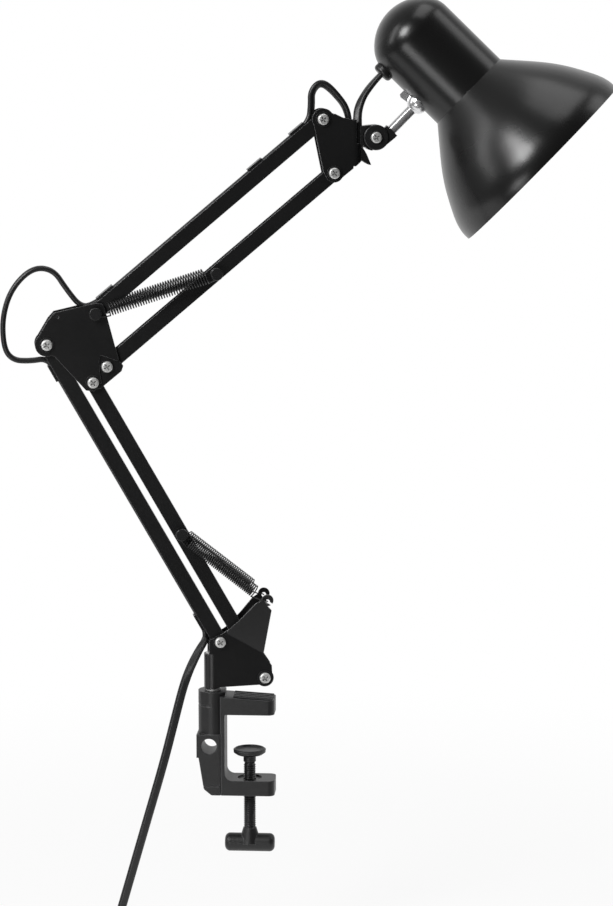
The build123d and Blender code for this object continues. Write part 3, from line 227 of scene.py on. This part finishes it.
NOSE_IN = Vector((0.0842, -0.0022, 0.443))
LEAD_JOINT = (LEAD_BEND + NOSE_TOP) / 2

route = [GLAND, GLAND_EXIT, LEAD_BEND, LEAD_JOINT]
shade_lead, _ = cord_piece("cord_to_shade", route, "cord_shade_lead", twist=(5, 20, 60))
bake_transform(shade_lead)
route = [LEAD_JOINT, NOSE_TOP, NOSE_IN]
nose_lead, _ = cord_piece("cord_to_nose", route, "cord_nose_lead", twist=(60, 90))
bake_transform(nose_lead)

HEAD_LOOP = [
    in_bar(ELBOW_TOP, UPPER_ANGLE, run, side) for run, side in ((0.208, IN_BAR_SIDE), (0.2205, 0.0047))
]
HEAD_LOOP += [(0.0492, 0, 0.4735), (0.0489, 0, 0.484), (0.056, 0, 0.4915), (0.0655, 0, 0.485)]
HEAD_LOOP += [(0.0789, 0, 0.468), (0.0784, 0, 0.4525)]
head_loop, line = cord_piece(
    "cord_head_loop_bent", HEAD_LOOP, "cord_head_loop", twist=(0, 40, 38, 20, 0)
)
line_length(line)
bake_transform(head_loop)

ELBOW_OVER = [
    in_bar(ELBOW_TOP, UPPER_ANGLE, run, side) for run, side in ((0.016, IN_BAR_SIDE), (0.006, 0.0048))
]
ELBOW_OVER += [(-0.1285, 0, 0.3198), (-0.14, 0, 0.3345), (-0.1495, 0, 0.3495), (-0.1655, 0, 0.3512)]
ELBOW_OVER += [(-0.1815, 0, 0.3355), (-0.1888, 0, 0.314), (-0.1886, 0, 0.303)]
elbow_over, line = cord_piece("cord_elbow_rise", ELBOW_OVER, "cord_elbow_over")
line_length(line)
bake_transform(elbow_over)

ELBOW_UNDER = [(-0.1886, 0, 0.303), (-0.1884, 0, 0.29), (-0.1815, 0, 0.2802), (-0.168, 0, 0.2794)]
ELBOW_UNDER += [
    in_bar(BASE_OUTER, LOWER_ANGLE, run, side) for run, side in ((0.26, 0.0048), (0.252, IN_BAR_SIDE))
]
elbow_under, line = cord_piece("cord_elbow_fall", ELBOW_UNDER, "cord_elbow_under")
line_length(line)
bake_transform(elbow_under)

# %% [markdown]
# Below the clamp the cord hangs out of the picture. The length that the picture does not show lies on
# the floor below the lamp, wound in a tied coil, with the switch in line and the plug at the end.

# %% Hanging cord, switch and coil
LEAD_Z = -0.191
SWITCH_RIGHT = -0.157
SWITCH_LEFT = -0.217
COIL_X = -0.25
COIL_OUTER = 0.0445
COIL_STEP = 0.0024
HALF_TURNS = 5
LAYER_DROP = 0.0076
PLUG_Z = -0.1953
PLUG_AHEAD = 0.048
COIL_LEAVES = 0.012
PLUG_STRAIGHT = 0.014
ARC_POINTS = 12
TWISTED_AFTER = 29


def half_turn(start, radius, side, drop=0.0):
    """Control points of a half turn round a centre to one side of its start."""
    centre = Vector(start) + Vector((0, side * radius, 0))
    wide = radius / cos(pi / (2 * ARC_POINTS))
    points = []
    for k in range(ARC_POINTS):
        part = (k + 0.5) / ARC_POINTS
        turn = -side * pi / 2 + pi * part
        fall = drop * (1 - cos(pi * part)) / 2
        points.append(centre + Vector((cos(turn) * wide, sin(turn) * wide, -fall)))
    end = centre + Vector((0, side * radius, -drop))
    return points, end


TAIL = [
    in_bar(BASE_OUTER, LOWER_ANGLE, run, side) for run, side in ((0.024, IN_BAR_SIDE), (0.008, 0.0049))
]
TAIL += [(-0.0408, 0, 0.048), (-0.0508, 0, 0.026), (-0.0586, 0, -0.004), (-0.0678, 0, -0.04)]
TAIL += [(-0.0824, 0, -0.0895), (-0.0992, 0, -0.147), (-0.112, 0, LEAD_Z)]
TAIL += [(SWITCH_RIGHT, 0, LEAD_Z), (SWITCH_LEFT, 0, LEAD_Z)]
at, side = Vector((COIL_X, 0, LEAD_Z)), -1
coil = []
radii = [COIL_OUTER - COIL_STEP * k for k in range(HALF_TURNS)]
drop_radius = COIL_OUTER - COIL_STEP * HALF_TURNS
upper_layer = [(r, 0) for r in radii]
lower_layer = [(r, 0) for r in reversed(radii)]
for radius, drop in upper_layer + [(drop_radius, LAYER_DROP)] + lower_layer:
    points, at = half_turn(at, radius, side, drop)
    coil += points
    side = -side
PLUG_IN = Vector((at.x + PLUG_AHEAD, at.y, PLUG_Z))
LEAD_OUT = [at + Vector((COIL_LEAVES, 0, 0)), PLUG_IN - Vector((PLUG_STRAIGHT, 0, 0)), PLUG_IN]

route = TAIL + coil + LEAD_OUT
quarter_twist = [0] + TWISTED_AFTER * [90]
lead, line = cord_piece(
    "cord_lead",
    route,
    "cord_tail",
    "cord_coil",
    twist=quarter_twist,
    upright=Vector((0, 0, 1)),
)
line_length(line)
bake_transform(lead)

# %% [markdown]
# Each balance spring is close-wound black wire with a hook at each end. The real one has about forty
# turns, so the wire is drawn here along its true helix, and it stretches between its two ends. The
# straight wire at its still end is a piece of its own.

# %% Wound springs
SPRING_WIRE = 0.0005
SPRING_RADIUS = 0.0048
SPRING_HOOK = 0.0034
SPRING_TURNS = 38
SPRING_DEPTH = 0.0114
HOOK_POINTS = 9
TURN_STEPS = 14
LOWER_LEADS = (0.008, 0.013)
UPPER_LEADS = (0.0108, 0.008)
LOWER_SWING = 0.3
UPPER_SWING = 0.55
EAR = Vector((0.01302, 0.0, 0.08974))
EAR_DEPTH = 0.0139
EAR_BEND = (
    (0.0045, 0.0018, -0.0024),
    (0.0018, 0, -0.00205),
    (0.0006, 0, -0.0015),
    (0, 0, -0.00025),
    (0, 0, 0.0017),
)
EAR_POINTS = len(EAR_BEND)


def middle(node):
    """Centre of a node's box."""
    low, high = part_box(node)
    return Vector(((low[k] + high[k]) / 2 for k in range(3)))


PIN_LOWER = middle("lower_spring_pin")
PIN_UPPER = middle("upper_spring_pin")


def round_section(radius, count=8):
    """Corners of a round section."""
    return [(radius * cos(2 * pi * k / count), radius * sin(2 * pi * k / count)) for k in range(count)]


def spring_line(start, end, lead_start, lead_end, through_ear):
    """Line of the wire: hook, turns, and a hook or a straight end."""
    ahead = (end - start).normalized()
    length = (end - start).length
    out = ahead.cross(Vector((0, -1, 0))).normalized()
    deep = ahead.cross(out).normalized()

    def place(s, v, w):
        return start + ahead * s + out * v + deep * w

    line = []
    for k in range(HOOK_POINTS):
        turn = -pi / 2 - pi * k / (HOOK_POINTS - 1)
        line.append(place(SPRING_HOOK * cos(turn), SPRING_HOOK * sin(turn), 0))
    body = length - lead_start - lead_end
    for k in range(SPRING_TURNS * TURN_STEPS + 1):
        turn = 2 * pi * k / TURN_STEPS
        s = lead_start + body * k / (SPRING_TURNS * TURN_STEPS)
        line.append(place(s, SPRING_RADIUS * cos(turn), SPRING_RADIUS * sin(turn)))
    if through_ear:
        line += [place(length - back, v, w) for back, v, w in EAR_BEND]
    else:
        for k in range(HOOK_POINTS):
            turn = pi / 2 - pi * k / (HOOK_POINTS - 1)
            line.append(place(length + SPRING_HOOK * cos(turn), SPRING_HOOK * sin(turn), 0))
    return line


def wound_spring(name, start, end, leads, through_ear, node, swing):
    """A spring between two bodies: its turns, and the straight wire at its still end."""
    line = spring_line(start, end, *leads, through_ear)
    still, swung = (end, start) if through_ear else (start, end)
    reach = swung - still
    share = leads[1 if through_ear else 0] / reach.length
    wire_stop = still + reach * (share / swing)
    turns_stop = still + reach * ((share - swing) / (1 - swing))
    if through_ear:
        turns = line[:-EAR_POINTS], swung, turns_stop
        straight = line[-EAR_POINTS - 1 :], wire_stop, still
    else:
        turns = line[HOOK_POINTS:], turns_stop, swung
        straight = line[: HOOK_POINTS + 1], still, wire_stop
    made = []
    for label, (points, first, last) in ((name, turns), (name + "_end", straight)):
        piece = carry(label, points, round_section(SPRING_WIRE))
        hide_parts(node)
        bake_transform(piece)
        made.append(piece)
    print(name, "turns", SPRING_TURNS, "wire", round(line_length(line), 3), "m")
    return made


springs = []
for name, hand in (("front", -1), ("rear", 1)):
    depth = Vector((0, hand * SPRING_DEPTH, 0))
    pin = PIN_LOWER + depth
    ear = EAR + Vector((0, hand * EAR_DEPTH, 0))
    springs += wound_spring(
        "lower_spring_wound_" + name,
        pin,
        ear,
        LOWER_LEADS,
        True,
        "lower_spring_" + name,
        LOWER_SWING,
    )
    elbow_pin = Vector((ELBOW_TOP[0], 0, ELBOW_TOP[1])) + depth
    springs += wound_spring(
        "upper_spring_wound_" + name,
        elbow_pin,
        PIN_UPPER + depth,
        UPPER_LEADS,
        False,
        "upper_spring_" + name,
        UPPER_SWING,
    )

# %% [markdown]
# The finishes are node materials. A small class wraps a socket, so that shader maths reads as plain
# arithmetic, and one method adds any other node.


# %% Shader helper
class Wire:
    """A value in a material's node tree that can be added, scaled and mixed in plain Python."""

    def __init__(self, tree, socket):
        self.tree = tree
        self.socket = socket

    def maths(self, operation, a, b):
        made = self.tree.nodes.new("ShaderNodeMath")
        made.operation = operation
        for slot, value in zip(made.inputs, (a, b)):
            if isinstance(value, Wire):
                self.tree.links.new(value.socket, slot)
            else:
                slot.default_value = value
        return Wire(self.tree, made.outputs[0])

    def __add__(self, other):
        return self.maths("ADD", self, other)

    def __radd__(self, other):
        return self.maths("ADD", other, self)

    def __rsub__(self, other):
        return self.maths("SUBTRACT", other, self)

    def __mul__(self, other):
        return self.maths("MULTIPLY", self, other)


class Graph:
    """A node tree, and a method that adds a node to it."""

    def __init__(self, tree):
        self.tree = tree

    def node(self, kind, settings=None, out=0, **sockets):
        made = self.tree.nodes.new("ShaderNode" + kind)
        for key, value in (settings or {}).items():
            setattr(made, key, value)
        for key, value in sockets.items():
            by_number = key[0] == "i" and key[1:].isdigit()
            slot = made.inputs[int(key[1:])] if by_number else made.inputs[key.replace("_", " ")]
            if isinstance(value, Wire):
                self.tree.links.new(value.socket, slot)
            else:
                slot.default_value = value
        return Wire(self.tree, made.outputs[out])


BUMP_DISTANCE = 0.0004


class Finish(Graph):
    """A material with one surface shader."""

    def __init__(self, name, colour, fixed=None):
        self.material = bpy.data.materials.new(name)
        self.material.use_nodes = True
        super().__init__(self.material.node_tree)
        self.shader = self.tree.nodes["Principled BSDF"]
        self.shader.inputs["Base Color"].default_value = (*colour, 1)
        for socket, value in (fixed or {}).items():
            self.shader.inputs[socket].default_value = value

    def feed(self, socket, value):
        self.tree.links.new(value.socket, self.shader.inputs[socket])

    def noise(self, scale, detail=2.0):
        place = self.node("TexCoord", out=3)
        return self.node("TexNoise", Vector=place, Scale=scale, Detail=detail)

    def between(self, mask, dark, light):
        return self.node("Mix", {"data_type": "RGBA"}, out=2, Factor=mask, i6=(*dark, 1), i7=(*light, 1))

    def skin(self, size, strength, edge):
        """A fine skin over rounded corners, and how near a point is to a corner."""
        rounded = self.node("Bevel", {"samples": 4}, Radius=edge)
        height = self.noise(size)
        bumped = self.node(
            "Bump", Height=height, Strength=strength, Distance=BUMP_DISTANCE, Normal=rounded
        )
        self.feed("Normal", bumped)
        facing = self.node("NewGeometry", out=1)
        return 1.0 - self.node("VectorMath", {"operation": "DOT_PRODUCT"}, out=1, i0=rounded, i1=facing)


# %% [markdown]
# Powder coat is black with a fine orange-peel skin, and it is a little greyer and rougher in places.
# Three sizes of noise give the peel, the grain and the slow change of sheen. The
# coat is round at the corners of the sheet, and the corners are painted paler, a painted highlight,
# so they show as pale lines. The bevel node gives both without more mesh.


# %% Coated steel, cord and moulded finishes
SLOW_SCALE, FINE_SCALE = 22.0, 260.0
SLOW_SHARE, FINE_SHARE = 0.7, 0.3
CORNER_GAIN = 4.0
BLUE_TINT = 1.03


def coated(name, dark, light, rough, peel, peel_size, edge=0.0005, corner_highlight=0.05, metallic=0.0):
    """A coat with slow changes of tone and sheen over a fine skin, with a painted highlight at its
    corners.
    """
    finish = Finish(name, (dark,) * 3, {"Metallic": metallic})
    slow = finish.noise(SLOW_SCALE, 3.0)
    fine = finish.noise(FINE_SCALE)
    corner = finish.skin(peel_size, peel, edge)
    corner = corner.maths("MINIMUM", corner * CORNER_GAIN, 1.0)
    tone = (slow * SLOW_SHARE + fine * FINE_SHARE) * (light - dark) + dark
    # Painted highlight: the corners are made paler in the base colour.
    tone = tone + corner * corner_highlight
    colour = finish.node("CombineColor", Red=tone, Green=tone, Blue=tone * BLUE_TINT)
    finish.feed("Base Color", colour)
    finish.feed("Roughness", rough - 0.05 + slow * 0.08 + fine * 0.04)
    return finish


powder = coated("powder_coat", 0.006, 0.011, 0.3, 0.08, 1500.0, edge=0.0009, corner_highlight=0.16)
moulded = coated("moulded_charcoal", 0.006, 0.011, 0.42, 0.2, 1100.0, edge=0.001, corner_highlight=0.1)
plastic = coated("black_moulding", 0.008, 0.015, 0.36, 0.12, 1600.0)
oxide = coated("dark_oxide", 0.012, 0.03, 0.3, 0.06, 2200.0, edge=0.0003, metallic=0.35)
wire = coated("spring_coat", 0.008, 0.02, 0.3, 0.05, 2600.0, edge=0.0001, corner_highlight=0.0)
sheath = coated("cord_sheath", 0.008, 0.015, 0.36, 0.05, 1800.0, edge=0.0001, corner_highlight=0.0)
print("coats:", [f.material.name for f in (powder, moulded, plastic, oxide, wire, sheath)])

# %% [markdown]
# The shade is spun steel under a smooth black enamel, and white inside, as reflectors are. Which side
# a point is on follows from its normal and its offset from the shade's axis. Both are taken in the
# shade's own space, so that the white stays inside when the arm moves.

# %% Shade enamel
BLACK_DEEP = (0.005, 0.005, 0.005)
BLACK_PALE = (0.01, 0.01, 0.01)
WHITE_INSIDE = (0.72, 0.71, 0.68, 1)
GLOSS, GLOSS_CHANGE, INSIDE_MATT = 0.25, 0.06, 0.25
to_own = frame["nodes"]["lamp_shade"].matrix_world.inverted()
own_at = tuple(to_own @ SHADE_AT)
own_axis = tuple(to_own.to_3x3() @ SHADE_AXIS)
print("shade's own axis:", [round(x, 3) for x in own_axis])
enamel = Finish("shade_enamel", (0.006, 0.006, 0.006))
spot = enamel.node("TexCoord", out=3)
facing = enamel.node("TexCoord", out=1)
offset = enamel.node("VectorMath", {"operation": "SUBTRACT"}, i0=spot, i1=own_at)
height = enamel.node("VectorMath", {"operation": "DOT_PRODUCT"}, out=1, i0=offset, i1=own_axis)
along = enamel.node("VectorMath", {"operation": "SCALE"}, i0=own_axis, i3=height)
radial = enamel.node("VectorMath", {"operation": "SUBTRACT"}, i0=offset, i1=along)
outward = enamel.node("VectorMath", {"operation": "DOT_PRODUCT"}, out=1, i0=radial, i1=facing)
inside = enamel.node("Math", {"operation": "LESS_THAN"}, i0=outward, i1=0.0)
slow = enamel.noise(14.0)
tone = enamel.between(slow, BLACK_DEEP, BLACK_PALE)
both = enamel.node("Mix", {"data_type": "RGBA"}, out=2, Factor=inside, i6=tone, i7=WHITE_INSIDE)
enamel.feed("Base Color", both)
enamel.feed("Roughness", GLOSS + slow * GLOSS_CHANGE + inside * INSIDE_MATT)
enamel.skin(420.0, 0.04, 0.0003)

# %% [markdown]
# Bright metal: zinc plate is a soft grey with a faint grain. Chrome, the lampholder's brass and the
# plug's nickel are smoother. Recesses, such as the screws' cross recesses, are painted dark, a painted
# shade, and the occlusion node finds those places.


# %% Bright metals
RECESS_SHADE = (0.02, 0.02, 0.02, 1)
RECESS_SHADE_REACH = 0.0012


def metal(name, dark, light, rough, grain, scale, metallic=1.0):
    """A plated metal with a faint grain in its sheen, and painted shade in its recesses."""
    finish = Finish(name, light, {"Metallic": metallic})
    tone = finish.noise(scale, 3.0)
    nearby = {"samples": 4, "only_local": True}
    # Painted shade: where the occlusion node finds a recess, the colour is mixed towards dark.
    open_air = finish.node("AmbientOcclusion", nearby, out=1, Distance=RECESS_SHADE_REACH)
    plate = finish.between(tone, dark, light)
    shown = finish.node("Mix", {"data_type": "RGBA"}, out=2, Factor=open_air, i6=RECESS_SHADE, i7=plate)
    finish.feed("Base Color", shown)
    finish.feed("Roughness", rough + tone * grain)
    return finish


zinc = metal("zinc_plate", (0.72, 0.72, 0.71), (0.84, 0.84, 0.83), 0.38, 0.08, 300.0, 0.7)
chrome = metal("chrome_plate", (0.8, 0.8, 0.81), (0.9, 0.9, 0.91), 0.2, 0.06, 90.0, 0.8)
brass = metal("socket_brass", (0.5, 0.36, 0.16), (0.72, 0.54, 0.27), 0.22, 0.14, 220.0)
nickel = metal("pin_nickel", (0.56, 0.55, 0.52), (0.74, 0.73, 0.7), 0.18, 0.12, 260.0)
print("metals:", [f.material.name for f in (zinc, chrome, brass, nickel)])

# %% Give each node its finish
FINISH_OF_SLOT = {
    "black_steel": powder,
    "clamp_plastic": moulded,
    "zinc_steel": zinc,
    "dark_steel": oxide,
    "spring_wire": wire,
    "chrome": chrome,
    "shade_paint": enamel,
    "black_plastic": plastic,
    "brass": brass,
    "pin_metal": nickel,
    "cord_pvc": sheath,
}


def paint(piece, slot):
    """Gives a piece the finish of its slot."""
    piece.data.materials.clear()
    piece.data.materials.append(FINISH_OF_SLOT[slot].material)


for entry in frame["record"]["subparts"]:
    paint(frame["nodes"][entry["node"]], entry["material_slot"])
for piece in cords:
    paint(piece, "cord_pvc")
for piece in springs:
    paint(piece, "spring_wire")

# %% [markdown]
# A pale floor lies where the put-away cord rests, and the background is white, as in a product
# picture. The floor glows almost as white, and keeps a faint shadow near the lamp. The studio is
# bright behind the lamp and dim behind the camera, so that the flat black faces stay dark and only
# their rounded corners shine, helped by the highlight painted along them.

# %% Floor, world and lamps
FLOOR_Z = -0.2034
FLOOR_SIDE = 1.2
FLOOR_FRONT, FLOOR_BACK = -0.45, 1.6
GLOW_NEAR, GLOW_FAR = 0.35, 1.0
GLOW_LEAST = 0.9
floor_mesh = bpy.data.meshes.new("floor")
corners = [(x, FLOOR_FRONT, FLOOR_Z) for x in (-FLOOR_SIDE, FLOOR_SIDE)]
corners += [(x, FLOOR_BACK, FLOOR_Z) for x in (FLOOR_SIDE, -FLOOR_SIDE)]
floor_mesh.from_pydata(corners, [], [(0, 1, 2, 3)])
floor = bpy.data.objects.new("floor", floor_mesh)
scene.collection.objects.link(floor)
pale = Finish("pale_floor", (0.85, 0.85, 0.85), {"Roughness": 0.8})
seen = pale.node("LightPath") + pale.node("LightPath", out=3) + pale.node("LightPath", out=6)
glow = pale.node("Emission", Color=(1, 1, 1, 1), Strength=1.0)
away = pale.node("VectorMath", {"operation": "LENGTH"}, out=1, i0=pale.node("NewGeometry"))
ease = {"interpolation_type": "SMOOTHSTEP"}
plain = pale.node("MapRange", ease, Value=away, i1=GLOW_NEAR, i2=GLOW_FAR, i3=GLOW_LEAST, i4=1.0)
surface = pale.node("MixShader", Fac=seen * plain, i1=Wire(pale.tree, pale.shader.outputs[0]), i2=glow)
pale.tree.links.new(surface.socket, pale.tree.nodes["Material Output"].inputs["Surface"])
floor_mesh.materials.append(pale.material)

world = bpy.data.worlds.new("studio")
world.use_nodes = True
sky = Graph(world.node_tree)
way = sky.node("SeparateXYZ", out=1, Vector=sky.node("TexCoord", out=0))
room = sky.node("MapRange", ease, Value=way, i1=-0.8, i2=0.4, i3=0.02, i4=0.3)
backdrop = sky.node("MapRange", ease, Value=way, i1=0.1, i2=1.0, i3=0.06, i4=1.0)
mirrored = (sky.node("LightPath", out=3) + sky.node("LightPath", out=6)) * backdrop
strength = mirrored.maths("MAXIMUM", mirrored, room)
strength = strength.maths("MAXIMUM", strength, sky.node("LightPath"))
back = world.node_tree.nodes["Background"]
back.inputs["Color"].default_value = (1, 1, 1, 1)
world.node_tree.links.new(strength.socket, back.inputs["Strength"])
scene.world = world


def soft_lamp(name, at, aim, size, power):
    """A wide rectangular lamp that faces a point."""
    data = bpy.data.lights.new(name, "AREA")
    data.shape = "RECTANGLE"
    data.size, data.size_y = size
    data.energy = power
    lamp = bpy.data.objects.new(name, data)
    lamp.location = at
    lamp.rotation_euler = (Vector(aim) - Vector(at)).to_track_quat("-Z", "Y").to_euler()
    scene.collection.objects.link(lamp)


soft_lamp("key", (-1.3, -1.3, 1.4), (0.15, 0, 0.4), (0.7, 0.8), 30)
soft_lamp("top", (0.3, -0.1, 2.0), (0.1, 0, 0.35), (1.3, 0.8), 6)
soft_lamp("right", (1.7, 0.0, 1.4), (0.1, 0, 0.35), (0.8, 1.6), 7)
soft_lamp("left", (-1.7, -0.2, 1.1), (0, 0, 0.3), (0.4, 1.4), 6)
soft_lamp("low", (-0.66, -1.2, -0.05), (0.15, 0, 0.5), (0.45, 0.45), 3)
